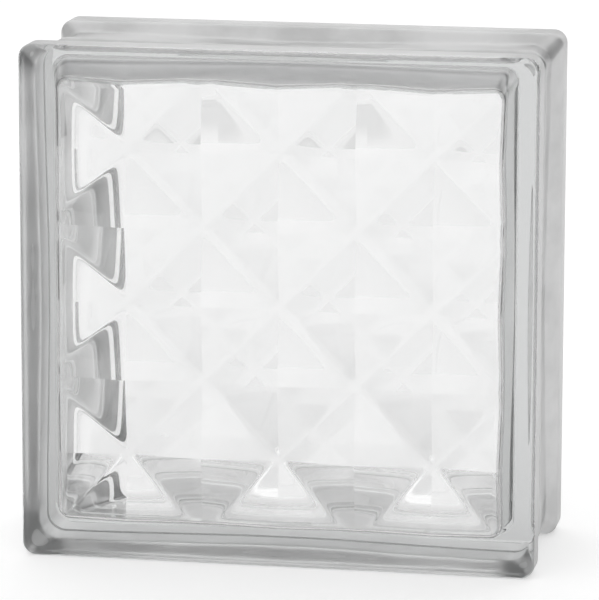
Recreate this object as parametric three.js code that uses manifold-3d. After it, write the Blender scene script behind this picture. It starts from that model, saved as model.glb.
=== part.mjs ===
// Square hollow glass block for walls, standing on one edge.
// Two pressed glass dishes, alike, are welded rim to rim at mid depth and seal the air inside.
// Units are millimetres. +Z is up, and Y is the depth: the front face looks towards -Y.
// The origin is at the middle of the block's footprint.
import * as THREE from "three";
import { mergeVertices } from "three/addons/utils/BufferGeometryUtils.js";
import Module from "manifold-3d";

// ---- driving sizes -------------------------------------------------------------------------

const faceWidth = 190; // across the flanges, and as high
const blockDepth = 80; // from face to face
const cornerRadius = 5; // of the flanges' four corners
const edgeRadius = 2; // round edge between a face and its flange

const flangeDepth = 12; // from a face to where the mortar groove starts
const grooveDepth = 3.7; // of the groove's floor below the flanges
const grooveRun = 9; // length over which the flange sweeps down to the groove's floor
const grooveCornerRadius = 7; // of the groove's four corners
const grooveBow = 1.3; // how far each side of the groove is drawn in at its middle
const beadHeight = 1.1; // of the weld seam, out of the groove's floor and into the cavity
const beadHalfWidth = 2.2; // of the weld seam on each dish

const plateThickness = 5; // of the face plate under the deepest point of a pit
const reliefHeight = 5.9; // from the bottom of a pit to the crests round it
const reliefPitch = 28.3; // from a pit to the next star point, across or up
const crestLand = 0.7; // flat width on top of a crest
const pitOverlap = 1.1; // how many times a pit's own size the tool that cuts it is

const frameWidth = 13.4; // from the flange's outer edge to the cavity, where the cavity starts
const rimThickness = 5; // of the dish's wall under the groove, at the weld
const cavityCornerRadius = 4.5; // of the cavity's four corners, at the face plate
const rimCornerRadius = 5; // of the cavity's four corners, at the weld
const cavityFillet = 3; // between the face plate and the walls

const cornerSteps = 8; // facets round a corner of the outline
const sideSteps = 8; // facets along a side of the outline
const roundSteps = 4; // facets round an edge of the profile
const sweepSteps = 7; // facets down the sweep to the groove

// ---- sizes that follow ---------------------------------------------------------------------

const dishDepth = blockDepth / 2;
const halfWidth = faceWidth / 2;
const facetSlope = reliefHeight / (reliefPitch * Math.SQRT1_2); // rise over run, square to a crest
const crestDrop = (crestLand / 2) * facetSlope; // what the land takes off a crest's sharp edge
const rimInset = grooveDepth + rimThickness;

const wasm = await Module();
wasm.setup();

// ---- helpers -------------------------------------------------------------------------------

// A closed geometry as a solid that can be joined or cut.
function solidOf(geometry) {
  const bare = geometry.clone();
  bare.deleteAttribute("normal");
  bare.deleteAttribute("uv");
  const merged = mergeVertices(bare, 1e-4);
  return new wasm.Manifold(
    new wasm.Mesh({
      numProp: 3,
      vertProperties: merged.attributes.position.array,
      triVerts: new Uint32Array(merged.index.array),
    }),
  );
}

function geometryOf(solid) {
  const mesh = solid.getMesh();
  const geometry = new THREE.BufferGeometry();
  geometry.setAttribute("position", new THREE.BufferAttribute(mesh.vertProperties, 3));
  geometry.setIndex(new THREE.BufferAttribute(mesh.triVerts, 1));
  geometry.computeVertexNormals();
  return geometry;
}

// Points of a square outline, counter-clockwise and as many for any size.
// The corners are round, and each side is drawn in by the bow at its middle.
function roundedSquare(half, radius, bow) {
  const outline = [];
  const centre = new THREE.Vector2(0, 0);
  const straight = half - radius;
  for (let corner = 0; corner < 4; corner++) {
    const start = (corner * Math.PI) / 2;
    for (let i = 1; i < sideSteps; i++) {
      const along = (2 * i) / sideSteps - 1;
      const sag = bow * Math.cos((along * Math.PI) / 2) ** 2;
      const point = new THREE.Vector2(half - sag, straight * along);
      outline.push(point.rotateAround(centre, start));
    }
    const middle = new THREE.Vector2(straight, straight).rotateAround(centre, start);
    const end = start + Math.PI / 2;
    const arc = new THREE.EllipseCurve(middle.x, middle.y, radius, radius, start, end);
    outline.push(...arc.getPoints(cornerSteps));
  }
  return outline;
}

// Skin over one such outline for each station, closed by flat ends.
// A station has its depth from the face, its inset from the flanges, its corner radius and bow.
function loft(stations) {
  const rings = stations.map((s) => roundedSquare(halfWidth - s.inset, s.radius, s.bow));
  const count = rings[0].length;
  const positions = [];
  rings.forEach((ring, i) => {
    ring.forEach((p) => positions.push(p.x, p.y, stations[i].depth));
  });
  const first = rings.length * count;
  const last = first + 1;
  positions.push(0, 0, stations[0].depth);
  positions.push(0, 0, stations[stations.length - 1].depth);
  const index = [];
  for (let k = 0; k < count; k++) {
    const next = (k + 1) % count;
    for (let i = 0; i + 1 < rings.length; i++) {
      const a = i * count + k;
      const b = i * count + next;
      index.push(a, b, b + count, a, b + count, a + count);
    }
    const end = (rings.length - 1) * count;
    index.push(first, next, k);
    index.push(last, end + k, end + next);
  }
  const geometry = new THREE.BufferGeometry();
  geometry.setAttribute("position", new THREE.Float32BufferAttribute(positions, 3));
  geometry.setIndex(index);
  return solidOf(geometry);
}

// Stations round a quarter circle of the profile, each at a share of its two radii.
function quarter(visit) {
  const stations = [];
  for (let i = 0; i <= roundSteps; i++) {
    const angle = (i / roundSteps) * (Math.PI / 2);
    stations.push(visit(Math.sin(angle), Math.cos(angle)));
  }
  return stations;
}

// ---- one dish, with its face at depth 0 and its rim at dishDepth ------------------------------

// The outside: round edge, flange, sweep down to the mortar groove, and half of the weld bead.
function dishOutside() {
  const edge = quarter((sin, cos) => ({
    depth: edgeRadius * (1 - cos),
    inset: edgeRadius * (1 - sin),
    radius: cornerRadius - edgeRadius * (1 - sin),
    bow: 0,
  }));
  const sweep = [];
  for (let i = 0; i <= sweepSteps; i++) {
    const t = i / sweepSteps;
    const fall = (1 - Math.cos(Math.PI * t)) / 2;
    sweep.push({
      depth: flangeDepth + grooveRun * t,
      inset: grooveDepth * fall,
      radius: THREE.MathUtils.lerp(cornerRadius, grooveCornerRadius, fall),
      bow: grooveBow * fall,
    });
  }
  const bead = quarter((sin, cos) => ({
    depth: dishDepth - beadHalfWidth * cos,
    inset: grooveDepth - beadHeight * sin,
    radius: grooveCornerRadius,
    bow: grooveBow,
  }));
  return loft([...edge, ...sweep, ...bead]);
}

// The cavity's drafted wall at a depth from the face.
function wallStation(depth) {
  const share = (depth - plateThickness) / (dishDepth - plateThickness);
  return {
    depth,
    inset: THREE.MathUtils.lerp(frameWidth, rimInset, share),
    radius: THREE.MathUtils.lerp(cavityCornerRadius, rimCornerRadius, share),
    bow: 0,
  };
}

// The cavity as the plunger leaves it, from the pits' depth to the rim.
function dishInside() {
  const fillet = quarter((sin, cos) => {
    const wall = wallStation(plateThickness + cavityFillet * (1 - cos));
    return { ...wall, inset: wall.inset + cavityFillet * (1 - sin) };
  });
  const bead = quarter((sin, cos) => {
    const wall = wallStation(dishDepth - beadHalfWidth * cos);
    return { ...wall, inset: wall.inset + beadHeight * sin };
  });
  return loft([...fillet, ...bead]);
}

// The relief on the inside of the face plate: four-sided pits that leave crests on the diagonals.
// Eight edges meet at each star point, where the corners of four pits come together.
function faceRelief() {
  const crest = plateThickness + reliefHeight;
  const plate = new THREE.BoxGeometry(faceWidth, faceWidth, crest - crestDrop);
  plate.translate(0, 0, (crest - crestDrop) / 2);
  const reach = Math.ceil((halfWidth - rimInset) / reliefPitch);
  let relief = solidOf(plate);
  for (let column = -reach; column <= reach; column++) {
    for (let row = -reach; row <= reach; row++) {
      if ((column + row) % 2 === 0) continue;
      relief = relief.subtract(pit(column * reliefPitch, row * reliefPitch));
    }
  }
  return relief;
}

// One pit, drawn a little taller than the crests so that it cuts through the plate's surface.
function pit(x, y) {
  const height = reliefHeight * pitOverlap;
  const pyramid = new THREE.ConeGeometry(reliefPitch * pitOverlap, height, 4);
  pyramid.rotateX(-Math.PI / 2);
  pyramid.translate(x, y, plateThickness + height / 2);
  return solidOf(pyramid);
}

function dish() {
  const cavity = dishInside().subtract(faceRelief());
  return geometryOf(dishOutside().subtract(cavity));
}

// ---- the block -----------------------------------------------------------------------------

const clearGlass = new THREE.MeshStandardMaterial({
  color: 0xe6ebea,
  roughness: 0.03,
  metalness: 0,
  transparent: true,
  opacity: 0.45,
});

// A dish stands on edge with its face turned outwards, and its rim at the middle of the block.
function standing(name) {
  const mesh = new THREE.Mesh(dishGeometry, clearGlass);
  mesh.name = name;
  mesh.rotation.x = Math.PI / 2;
  mesh.position.set(0, dishDepth, halfWidth);
  return mesh;
}

const dishGeometry = dish();

const block = new THREE.Group();
block.add(standing("back_half"));

const turnedRound = new THREE.Group();
turnedRound.rotation.z = Math.PI;
turnedRound.add(standing("front_half"));
block.add(turnedRound);

export default block;
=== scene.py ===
"""A clear glass wall block with a star relief inside its two faces, in a white studio.

The block is one closed glass body: an outer skin, and the skin of the sealed cavity inside it.
Its four sides wear a satin grey coat for the mortar to grip, which shows through the glass.
Sizes are in millimetres until the mesh is made, and the frame's metres after that.
"""

import math

import bpy
import numpy as np
from mathutils import Matrix, Vector


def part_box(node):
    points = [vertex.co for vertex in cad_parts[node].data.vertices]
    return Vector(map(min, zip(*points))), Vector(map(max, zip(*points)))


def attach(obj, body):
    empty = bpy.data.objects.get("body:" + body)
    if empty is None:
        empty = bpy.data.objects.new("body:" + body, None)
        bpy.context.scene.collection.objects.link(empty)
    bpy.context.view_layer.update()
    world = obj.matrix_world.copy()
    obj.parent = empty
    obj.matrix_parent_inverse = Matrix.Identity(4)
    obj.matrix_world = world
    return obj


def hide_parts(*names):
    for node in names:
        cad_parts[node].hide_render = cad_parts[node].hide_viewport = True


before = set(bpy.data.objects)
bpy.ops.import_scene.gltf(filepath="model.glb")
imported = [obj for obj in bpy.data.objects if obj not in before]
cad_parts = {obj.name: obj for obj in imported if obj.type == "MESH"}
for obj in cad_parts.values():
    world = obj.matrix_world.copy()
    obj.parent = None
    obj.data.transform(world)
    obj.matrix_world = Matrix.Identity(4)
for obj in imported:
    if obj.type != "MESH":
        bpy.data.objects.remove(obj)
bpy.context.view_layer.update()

# ---- sizes of the block that the CAD model has too -------------------------------------------

MM = 0.001
LOW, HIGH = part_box("front_half")
FACE_WIDTH = (HIGH.x - LOW.x) / MM
BLOCK_DEPTH = 2 * (HIGH.y - LOW.y) / MM
HALF_WIDTH = FACE_WIDTH / 2
DISH_DEPTH = BLOCK_DEPTH / 2

CORNER_RADIUS = 5.0
EDGE_RADIUS = 2.0
FLANGE_DEPTH = 12.0
GROOVE_DEPTH = 3.7
GROOVE_RUN = 9.0
GROOVE_CORNER_RADIUS = 7.0
GROOVE_BOW = 1.3  # how far each side of the groove is drawn in at its middle
BEAD_HEIGHT = 1.1
BEAD_HALF_WIDTH = 2.2
PLATE_THICKNESS = 5.0
RELIEF_HEIGHT = 5.9
RELIEF_PITCH = 28.3
FRAME_WIDTH = 13.4
RIM_THICKNESS = 5.0
CAVITY_CORNER_RADIUS = 4.5
RIM_CORNER_RADIUS = 5.0
RIM_INSET = GROOVE_DEPTH + RIM_THICKNESS

# ---- sizes that the scene alone has ----------------------------------------------------------

CAVITY_FILLET = 2.0  # the CAD model's is 3
CREST_ROUNDING = 0.05  # of the crests, as a share of the run from a crest to a pit's bottom
RIM_SHIFT = np.array([-2.0, 2.0])  # of the cavity at the weld, across and up
BACK_MARGIN = 5.5  # width of the strip where the back plate's relief sinks towards the fillet

# ---- fineness of the mesh --------------------------------------------------------------------

CORNER_STEPS = 7  # round a corner of the outer faces
SIDE_POINTS = 31  # along a side of the outer faces, between its corners
PITCH_STEPS = 28  # of the relief's grid, from a pit to the next star point
LEAST_CELL = 0.3  # between the relief's grid and the plate's edge
ROUND_STEPS = 6  # round an edge, a fillet or the weld's bead
SWEEP_STEPS = 14  # down the sweep from a flange to the groove
FLOOR_STEPS = 4  # across the groove's floor on each half
WALL_STEPS = 6  # down the cavity's wall on each half
GUARD = 0.5  # from an edge to the ring that keeps the flat beside it flat
HAIR = 1e-9  # a length below this counts as none
SHARP_ANGLE = math.radians(18.0)


# ---- mesh helpers ----------------------------------------------------------------------------


def round_corners(points, half, radius):
    """Grid points of a square moved so that the square's corners are round."""
    straight = half - radius
    sign = np.where(points < 0, -1.0, 1.0)
    over = (np.abs(points) - straight) / radius
    a, b = over[:, 0], over[:, 1]
    rounded_a = a * np.sqrt(1 - np.minimum(b * b, 1) / 2)
    rounded_b = b * np.sqrt(1 - np.minimum(a * a, 1) / 2)
    arc = np.stack([rounded_a, rounded_b], 1)
    inside = (a > 0) & (b > 0)
    return np.where(inside[:, None], sign * (straight + radius * arc), points)


def resize(points, half, radius, new_half, new_radius, bow=0.0):
    """Points on one round-cornered square carried to another, with its sides drawn in by a bow."""
    wanted = (new_half, new_radius, bow)
    new_half, new_radius, bow = (np.broadcast_to(v, len(points))[:, None] for v in wanted)
    straight, new_straight = half - radius, new_half - new_radius
    sign = np.where(points < 0, -1.0, 1.0)
    over = np.maximum(np.abs(points) - straight, 0)
    angle = np.arctan2(over[:, 1], over[:, 0])
    corner = new_straight + new_radius * np.stack([np.cos(angle), np.sin(angle)], 1)
    along = np.minimum(np.abs(points) / straight, 1)
    sag = bow * np.cos(along * math.pi / 2) ** 2
    outer = over > HAIR
    return sign * np.where(outer, corner - sag[:, ::-1], along * new_straight)


class Shell:
    """One closed skin: a grid on the front, rings down the sides, and a grid on the back."""

    def __init__(self, ticks):
        self.ticks = np.array(ticks)
        self.count = len(ticks)
        self.vertices = []
        self.coat_depth = []
        self.faces = []
        self.total = 0

    def add(self, points, coat_depth=0.0):
        start = self.total
        self.vertices.append(points)
        self.coat_depth.append(np.full(len(points), coat_depth))
        self.total += len(points)
        return start

    def flat_grid(self):
        u, v = np.meshgrid(self.ticks, self.ticks, indexing="ij")
        return np.stack([u.ravel(), v.ravel()], 1)

    def boundary(self):
        n = self.count
        first = [i * n for i in range(n - 1)]
        second = [(n - 1) * n + j for j in range(n - 1)]
        third = [i * n + n - 1 for i in range(n - 1, 0, -1)]
        fourth = list(range(n - 1, 0, -1))
        return np.array(first + second + third + fourth)

    def grid_faces(self, start, flip, split_by=None):
        n = self.count
        for i in range(n - 1):
            for j in range(n - 1):
                a = start + i * n + j
                b, c, d = a + n, a + n + 1, a + 1
                if split_by is None:
                    parts = [(a, b, c, d)]
                elif split_by(i, j):
                    parts = [(a, b, c), (a, c, d)]
                else:
                    parts = [(a, b, d), (b, c, d)]
                for part in parts:
                    self.faces.append(part[::-1] if flip else part)

    def ring_faces(self, ring_a, ring_b):
        m = len(ring_a)
        for k in range(m):
            n = (k + 1) % m
            self.faces.append((ring_a[k], ring_a[n], ring_b[n], ring_b[k]))


def shares(start, end, steps):
    """Equal steps from start to end, without the first one."""
    return [start + (end - start) * (i + 1) / steps for i in range(steps)]


# ---- outer skin ------------------------------------------------------------------------------


def outer_stations():
    """Profile of one dish's outside as (depth from the face, inset, corner radius, bow)."""
    stations = []
    for angle in shares(0.0, math.pi / 2, ROUND_STEPS):
        inset = EDGE_RADIUS * (1 - math.sin(angle))
        depth = EDGE_RADIUS * (1 - math.cos(angle))
        stations.append((depth, inset, CORNER_RADIUS - inset, 0.0))
    for depth in (EDGE_RADIUS + GUARD, FLANGE_DEPTH / 2, FLANGE_DEPTH - GUARD, FLANGE_DEPTH):
        stations.append((depth, 0.0, CORNER_RADIUS, 0.0))
    for t in shares(0.0, 1.0, SWEEP_STEPS):
        fall = (1 - math.cos(math.pi * t)) / 2
        depth = FLANGE_DEPTH + GROOVE_RUN * t
        radius = CORNER_RADIUS + (GROOVE_CORNER_RADIUS - CORNER_RADIUS) * fall
        stations.append((depth, GROOVE_DEPTH * fall, radius, GROOVE_BOW * fall))
    groove_end = FLANGE_DEPTH + GROOVE_RUN
    for depth in shares(groove_end, DISH_DEPTH - BEAD_HALF_WIDTH, FLOOR_STEPS):
        stations.append((depth, GROOVE_DEPTH, GROOVE_CORNER_RADIUS, GROOVE_BOW))
    for angle in shares(0.0, math.pi / 2, ROUND_STEPS):
        depth = DISH_DEPTH - BEAD_HALF_WIDTH * math.cos(angle)
        inset = GROOVE_DEPTH - BEAD_HEIGHT * math.sin(angle)
        stations.append((depth, inset, GROOVE_CORNER_RADIUS, GROOVE_BOW))
    return stations


def outer_skin():
    half = HALF_WIDTH - EDGE_RADIUS
    radius = CORNER_RADIUS - EDGE_RADIUS
    corner = [half - radius * (1 - i / CORNER_STEPS) for i in range(CORNER_STEPS + 1)]
    straight = list(np.linspace(-corner[0], corner[0], SIDE_POINTS))
    ticks = [-c for c in reversed(corner[1:])] + straight + corner[1:]
    shell = Shell(ticks)
    flat = round_corners(shell.flat_grid(), half, radius)
    edge = shell.boundary()
    outline = flat[edge]

    def placed(points, depth):
        return np.stack([points[:, 0], np.full(len(points), depth), points[:, 1]], 1)

    front = shell.add(placed(flat, 0.0))
    shell.grid_faces(front, flip=False)
    previous = front + edge
    profile = outer_stations()
    mirrored = [(BLOCK_DEPTH - station[0], *station[1:]) for station in reversed(profile[:-1])]
    for depth, inset, ring_radius, bow in profile + mirrored:
        ring = resize(outline, half, radius, HALF_WIDTH - inset, ring_radius, bow)
        start = shell.add(placed(ring, depth), min(depth, BLOCK_DEPTH - depth))
        current = start + np.arange(len(ring))
        shell.ring_faces(current, previous)
        previous = current
    back = shell.add(placed(flat, BLOCK_DEPTH))
    shell.grid_faces(back, flip=True)
    shell.ring_faces(back + edge, previous)
    return shell


# ---- cavity skin -----------------------------------------------------------------------------


def relief(x, z):
    """Height of the glass over a pit's bottom: four-sided pits with crests on the diagonals."""
    p = (x + z) / (2 * RELIEF_PITCH)
    q = (x - z) / (2 * RELIEF_PITCH)
    fp = np.abs(p - np.round(p))
    fq = np.abs(q - np.round(q))
    rise = 2 * np.minimum(fp, fq)
    return RELIEF_HEIGHT * (1 - (np.sqrt(rise**2 + CREST_ROUNDING**2) - CREST_ROUNDING))


def cavity_skin():
    half = HALF_WIDTH - FRAME_WIDTH - CAVITY_FILLET
    radius = CAVITY_CORNER_RADIUS - CAVITY_FILLET
    step = RELIEF_PITCH / PITCH_STEPS
    cells = int((half - LEAST_CELL) / step)
    ticks = [-half] + [i * step for i in range(-cells, cells + 1)] + [half]
    shell = Shell(ticks)
    flat = round_corners(shell.flat_grid(), half, radius)
    edge = shell.boundary()
    outline = flat[edge]
    heights = relief(flat[:, 0], flat[:, 1])
    margin = np.clip((half - np.abs(flat).max(axis=1)) / BACK_MARGIN, 0, 1)
    front_plate = PLATE_THICKNESS + heights
    back_plate = PLATE_THICKNESS + heights * margin * margin * (3 - 2 * margin)
    wall_depth = DISH_DEPTH - PLATE_THICKNESS
    bead_start = DISH_DEPTH - BEAD_HALF_WIDTH

    def wall(depth):
        """Inset and corner radius of the drafted wall at each depth."""
        share = (depth - PLATE_THICKNESS) / wall_depth
        inset = FRAME_WIDTH + (RIM_INSET - FRAME_WIDTH) * share
        radius = CAVITY_CORNER_RADIUS + (RIM_CORNER_RADIUS - CAVITY_CORNER_RADIUS) * share
        return inset, radius

    def rings(edge_thickness):
        """Rings from the plate's edge round the fillet, down the wall and over the weld."""
        made = []
        for angle in shares(0.0, math.pi / 2, ROUND_STEPS):
            depth = edge_thickness + CAVITY_FILLET * (1 - math.cos(angle))
            rounding = CAVITY_FILLET * (1 - math.sin(angle))
            inset, radius = wall(depth)
            made.append((depth, inset + rounding, radius - rounding))
        start = edge_thickness + CAVITY_FILLET
        for share in shares(0.0, 1.0, WALL_STEPS):
            depth = start + (bead_start - start) * share
            made.append((depth, *wall(depth)))
        for angle in shares(0.0, math.pi / 2, ROUND_STEPS):
            depth = np.full(len(edge), DISH_DEPTH - BEAD_HALF_WIDTH * math.cos(angle))
            inset, radius = wall(depth)
            made.append((depth, inset + BEAD_HEIGHT * math.sin(angle), radius))
        return made

    def add_ring(y, inset, ring_radius):
        ring = resize(outline, half, radius, HALF_WIDTH - inset, ring_radius)
        share = np.clip((np.minimum(y, BLOCK_DEPTH - y) - PLATE_THICKNESS) / wall_depth, 0, 1)
        ring = ring + share[:, None] * RIM_SHIFT
        start = shell.add(np.stack([ring[:, 0], y, ring[:, 1]], 1))
        return start + np.arange(len(edge))

    def split(i, j):
        """Which way a grid square is halved, so that creases on the diagonals stay straight."""
        x = (ticks[i] + ticks[i + 1]) / 2
        z = (ticks[j] + ticks[j + 1]) / 2
        p = (x + z) / (2 * RELIEF_PITCH)
        q = (x - z) / (2 * RELIEF_PITCH)
        return abs(q - round(q)) < abs(p - round(p))

    front = shell.add(np.stack([flat[:, 0], front_plate, flat[:, 1]], 1))
    shell.grid_faces(front, flip=True, split_by=split)
    previous = front + edge
    front_rings = rings(front_plate[edge])
    back_rings = [(BLOCK_DEPTH - ring[0], *ring[1:]) for ring in rings(back_plate[edge])[:-1]]
    for ring in front_rings + back_rings[::-1]:
        current = add_ring(*ring)
        shell.ring_faces(previous, current)
        previous = current
    back = shell.add(np.stack([flat[:, 0], BLOCK_DEPTH - back_plate, flat[:, 1]], 1))
    shell.grid_faces(back, flip=False, split_by=split)
    shell.ring_faces(previous, back + edge)
    return shell


def block_mesh():
    vertices = []
    coat_depth = []
    faces = []
    for shell in (outer_skin(), cavity_skin()):
        start = sum(len(v) for v in vertices)
        vertices += shell.vertices
        coat_depth += shell.coat_depth
        faces += [tuple(int(i) + start for i in face) for face in shell.faces]
    points = np.concatenate(vertices) * MM
    points[:, 1] += LOW.y
    points[:, 2] += (LOW.z + HIGH.z) / 2
    mesh = bpy.data.meshes.new("glass_block")
    mesh.from_pydata(points.tolist(), [], faces)
    mesh.polygons.foreach_set("use_smooth", [True] * len(mesh.polygons))
    mesh.set_sharp_from_angle(angle=SHARP_ANGLE)
    layer = mesh.attributes.new("coat_depth", "FLOAT", "POINT")
    layer.data.foreach_set("value", np.concatenate(coat_depth))
    mesh.update()
    return mesh


# ---- materials -------------------------------------------------------------------------------

GLASS_IOR = 1.52
GLASS_TINT = (0.96, 0.96, 0.96, 1.0)
ABSORPTION_COLOUR = (0.59, 0.6, 0.6, 1.0)
ABSORPTION = 14.0
COAT_OUTSIDE = (0.46, 0.46, 0.46, 1.0), (0.62, 0.62, 0.62, 1.0)  # darkest and lightest
COAT_INSIDE_PAINTED_LIGHT = (0.84, 0.84, 0.84, 1.0), (0.98, 0.98, 0.98, 1.0)  # darkest and lightest; far lighter than the outside's grey, as painted light on the coat's inner side behind the glass
COAT_METAL = 0.6  # share that reflects like metal, and the rest lets light through
COAT_ROUGHNESS = 0.29, 0.38  # in the darkest and in the lightest clouds
COAT_START = 1.6  # depth from a face, in millimetres
COAT_FADE = 0.4
CLOUD_SCALE = 45.0  # clouds in the coat's colour and sheen, to a metre
CLOUD_DETAIL = 4.0
CLOUD_RANGE = 0.35, 0.65  # of the noise, from the darkest clouds to the lightest
WAVE_SCALE = 40.0  # waves pressed into the coated sides, to a metre
WAVE_DETAIL = 1.0
WAVE_HEIGHT = 0.0016


def glass_material():
    """Clear glass, with the satin coat where the skin's depth from a face passes COAT_START."""
    material = bpy.data.materials.new("coated_glass")
    material.use_nodes = True
    nodes = material.node_tree.nodes
    links = material.node_tree.links
    shader = nodes["Principled BSDF"]
    output = nodes["Material Output"]
    shader.inputs["IOR"].default_value = GLASS_IOR
    shader.inputs["Transmission Weight"].default_value = 1.0

    depth = nodes.new("ShaderNodeAttribute")
    depth.attribute_name = "coat_depth"
    coat = nodes.new("ShaderNodeMapRange")
    coat.interpolation_type = "SMOOTHSTEP"
    coat.inputs["From Min"].default_value = COAT_START
    coat.inputs["From Max"].default_value = COAT_START + COAT_FADE
    links.new(depth.outputs["Fac"], coat.inputs["Value"])

    def blend(factor, first, second):
        node = nodes.new("ShaderNodeMixRGB")
        links.new(factor, node.inputs["Fac"])
        for socket, value in (("Color1", first), ("Color2", second)):
            if isinstance(value, tuple):
                node.inputs[socket].default_value = value
            else:
                links.new(value, node.inputs[socket])
        return node.outputs["Color"]

    def level(value, low, high, start=0.0, end=1.0):
        node = nodes.new("ShaderNodeMapRange")
        for socket, setting in (("From Min", start), ("From Max", end), ("To Min", low)):
            node.inputs[socket].default_value = setting
        if isinstance(high, float):
            node.inputs["To Max"].default_value = high
        else:
            links.new(high, node.inputs["To Max"])
        links.new(value, node.inputs["Value"])
        return node.outputs["Result"]

    place = nodes.new("ShaderNodeTexCoord")

    def noise(scale, detail):
        node = nodes.new("ShaderNodeTexNoise")
        node.inputs["Scale"].default_value = scale
        node.inputs["Detail"].default_value = detail
        links.new(place.outputs["Object"], node.inputs["Vector"])
        return node.outputs["Fac"]

    clouds = level(noise(CLOUD_SCALE, CLOUD_DETAIL), 0.0, 1.0, *CLOUD_RANGE)
    geometry = nodes.new("ShaderNodeNewGeometry")
    outside = blend(clouds, *COAT_OUTSIDE)
    inside = blend(clouds, *COAT_INSIDE_PAINTED_LIGHT)
    # The coat's outer side keeps its clouded grey, and its inner side takes a much lighter copy of
    # it: painted light.
    coat_grey_and_painted_light = blend(geometry.outputs["Backfacing"], outside, inside)
    colour = blend(coat.outputs["Result"], GLASS_TINT, coat_grey_and_painted_light)
    links.new(colour, shader.inputs["Base Color"])
    links.new(level(coat.outputs["Result"], 0.0, COAT_METAL), shader.inputs["Metallic"])
    roughness = level(coat.outputs["Result"], 0.0, level(clouds, *COAT_ROUGHNESS))
    links.new(roughness, shader.inputs["Roughness"])

    waves = nodes.new("ShaderNodeBump")
    waves.inputs["Distance"].default_value = WAVE_HEIGHT
    links.new(coat.outputs["Result"], waves.inputs["Strength"])
    links.new(noise(WAVE_SCALE, WAVE_DETAIL), waves.inputs["Height"])
    links.new(waves.outputs["Normal"], shader.inputs["Normal"])

    absorb = nodes.new("ShaderNodeVolumeAbsorption")
    absorb.inputs["Color"].default_value = ABSORPTION_COLOUR
    absorb.inputs["Density"].default_value = ABSORPTION
    links.new(absorb.outputs["Volume"], output.inputs["Volume"])
    return material


def seen_directly(nodes, links):
    """1 for camera, glossy and transmission rays, and 0 for the rays that light surfaces."""
    path = nodes.new("ShaderNodeLightPath")
    total = path.outputs["Is Camera Ray"]
    for name in ("Is Glossy Ray", "Is Transmission Ray"):
        add = nodes.new("ShaderNodeMath")
        add.operation = "MAXIMUM"
        links.new(total, add.inputs[0])
        links.new(path.outputs[name], add.inputs[1])
        total = add.outputs["Value"]
    return total


FLOOR_COLOUR = (0.8, 0.8, 0.8, 1.0)
FLOOR_LIFT = 0.47  # added where the floor is seen, so that it comes out white


def floor_material():
    material = bpy.data.materials.new("studio_floor")
    material.use_nodes = True
    nodes = material.node_tree.nodes
    links = material.node_tree.links
    shader = nodes["Principled BSDF"]
    shader.inputs["Base Color"].default_value = FLOOR_COLOUR
    shader.inputs["Roughness"].default_value = 1.0
    shader.inputs["Specular IOR Level"].default_value = 0.0
    shader.inputs["Emission Color"].default_value = (1.0, 1.0, 1.0, 1.0)
    lift = nodes.new("ShaderNodeMath")
    lift.operation = "MULTIPLY"
    lift.inputs[1].default_value = FLOOR_LIFT
    links.new(seen_directly(nodes, links), lift.inputs[0])
    links.new(lift.outputs["Value"], shader.inputs["Emission Strength"])
    return material


# ---- the block -------------------------------------------------------------------------------

block = bpy.data.objects.new("glass_block", block_mesh())
bpy.context.scene.collection.objects.link(block)
block.data.materials.append(glass_material())
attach(block, "root")
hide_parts("front_half", "back_half")

# ---- studio ----------------------------------------------------------------------------------

FLOOR_HALF = 20.0

floor_mesh = bpy.data.meshes.new("floor")
corners = [(x * FLOOR_HALF, y * FLOOR_HALF, 0) for x, y in ((-1, -1), (1, -1), (1, 1), (-1, 1))]
floor_mesh.from_pydata(corners, [], [(0, 1, 2, 3)])
floor = bpy.data.objects.new("floor", floor_mesh)
bpy.context.scene.collection.objects.link(floor)
floor.data.materials.append(floor_material())

FRONT_LIGHT = 0.75
FRONT_BOX_LIGHT = 1.1
BACKDROP_LIGHT = 1.05
BACK_BOX_LIGHT = 1.3
LEFT_LIGHT = 0.3  # share of the light round the block that its left flank gives
RIGHT_LIGHT = 0.0
TOP_LIGHT = 0.9
GAP_SHADE = 0.15

# Spans over which the light changes, in the parts of a direction: across, deep or up.
FRONT_BOX = 0.3, 0.5
BACK_BOX = 0.3, 0.4
GAP_FOOT = 0.050, 0.054
GAP_HEAD = 0.055, 0.07
FRONT_TO_BACK = -0.1, 0.2
LEFT_FLANK = -0.8, -0.35
RIGHT_FLANK = 0.35, 0.8
TOP_EDGE = 0.75, 0.9


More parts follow.
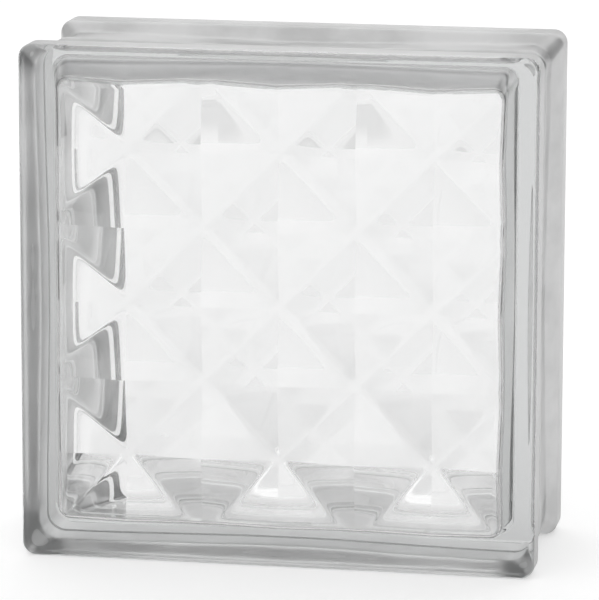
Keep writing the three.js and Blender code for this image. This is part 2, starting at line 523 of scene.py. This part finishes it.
def studio_world():
    """A backdrop behind and a panel in front, each under a brighter box, with dim flanks and a top.

    A narrow shaded gap lies over the horizon, where the backdrop rises from the floor.
    """
    world = bpy.data.worlds.new("studio")
    bpy.context.scene.world = world
    world.use_nodes = True
    nodes = world.node_tree.nodes
    links = world.node_tree.links
    background = nodes["Background"]
    background.inputs["Color"].default_value = (1.0, 1.0, 1.0, 1.0)

    def ramp(value, span, first, last):
        node = nodes.new("ShaderNodeMapRange")
        node.interpolation_type = "SMOOTHSTEP"
        node.inputs["From Min"].default_value = span[0]
        node.inputs["From Max"].default_value = span[1]
        node.inputs["To Min"].default_value = first
        node.inputs["To Max"].default_value = last
        links.new(value, node.inputs["Value"])
        return node.outputs["Result"]

    def join(operation, *values):
        node = nodes.new("ShaderNodeMath")
        node.operation = operation
        for socket, value in zip(node.inputs, values):
            links.new(value, socket)
        return node.outputs["Value"]

    coordinates = nodes.new("ShaderNodeTexCoord")
    split = nodes.new("ShaderNodeSeparateXYZ")
    links.new(coordinates.outputs["Generated"], split.inputs["Vector"])
    side, depth, height = split.outputs
    front = ramp(height, FRONT_BOX, FRONT_LIGHT, FRONT_BOX_LIGHT)
    back = ramp(height, BACK_BOX, BACKDROP_LIGHT, BACK_BOX_LIGHT)
    gap_foot = ramp(height, GAP_FOOT, 0.0, GAP_SHADE)
    gap = join("MULTIPLY", gap_foot, ramp(height, GAP_HEAD, 1.0, 0.0))
    back = join("SUBTRACT", back, gap)
    behind = ramp(depth, FRONT_TO_BACK, 0.0, 1.0)
    before = ramp(depth, FRONT_TO_BACK, 1.0, 0.0)
    around = join("ADD", join("MULTIPLY", back, behind), join("MULTIPLY", front, before))
    left = ramp(side, LEFT_FLANK, LEFT_LIGHT, 1.0)
    right = ramp(side, RIGHT_FLANK, 1.0, RIGHT_LIGHT)
    around = join("MULTIPLY", around, join("MULTIPLY", left, right))
    around = join("MULTIPLY", around, ramp(height, TOP_EDGE, 1.0, 0.0))
    light = join("ADD", around, ramp(height, TOP_EDGE, 0.0, TOP_LIGHT))
    path = nodes.new("ShaderNodeLightPath")
    seen = join("MAXIMUM", light, path.outputs["Is Camera Ray"])
    links.new(seen, background.inputs["Strength"])


studio_world()

# ---- camera ----------------------------------------------------------------------------------

AZIMUTH = math.radians(10.54)
ELEVATION = math.radians(11.37)
ROLL = math.radians(0.15)
TARGET = Vector((0.0014, 0.0, 0.0918))
DISTANCE = 1.629
FOCAL_PIXELS = 4407.0
FRAME_PIXELS = 599.0
SENSOR = 36.0

back = Vector(
    (
        math.sin(AZIMUTH) * math.cos(ELEVATION),
        -math.cos(AZIMUTH) * math.cos(ELEVATION),
        math.sin(ELEVATION),
    )
)
right = Vector((math.cos(AZIMUTH), math.sin(AZIMUTH), 0.0))
up = back.cross(right)
turned_right = math.cos(ROLL) * right + math.sin(ROLL) * up
turned_up = math.cos(ROLL) * up - math.sin(ROLL) * right
axes = Matrix((turned_right, turned_up, back)).transposed()
camera_data = bpy.data.cameras.new("camera")
camera_data.sensor_fit = "HORIZONTAL"
camera_data.sensor_width = SENSOR
camera_data.lens = FOCAL_PIXELS * SENSOR / FRAME_PIXELS
camera = bpy.data.objects.new("camera", camera_data)
camera.matrix_world = Matrix.Translation(TARGET + back * DISTANCE) @ axes.to_4x4()
bpy.context.scene.collection.objects.link(camera)
bpy.context.scene.camera = camera

scene = bpy.context.scene
scene.view_settings.view_transform = "Standard"
scene.cycles.max_bounces = 32
scene.cycles.transmission_bounces = 32
scene.cycles.glossy_bounces = 16
scene.cycles.use_denoising = True
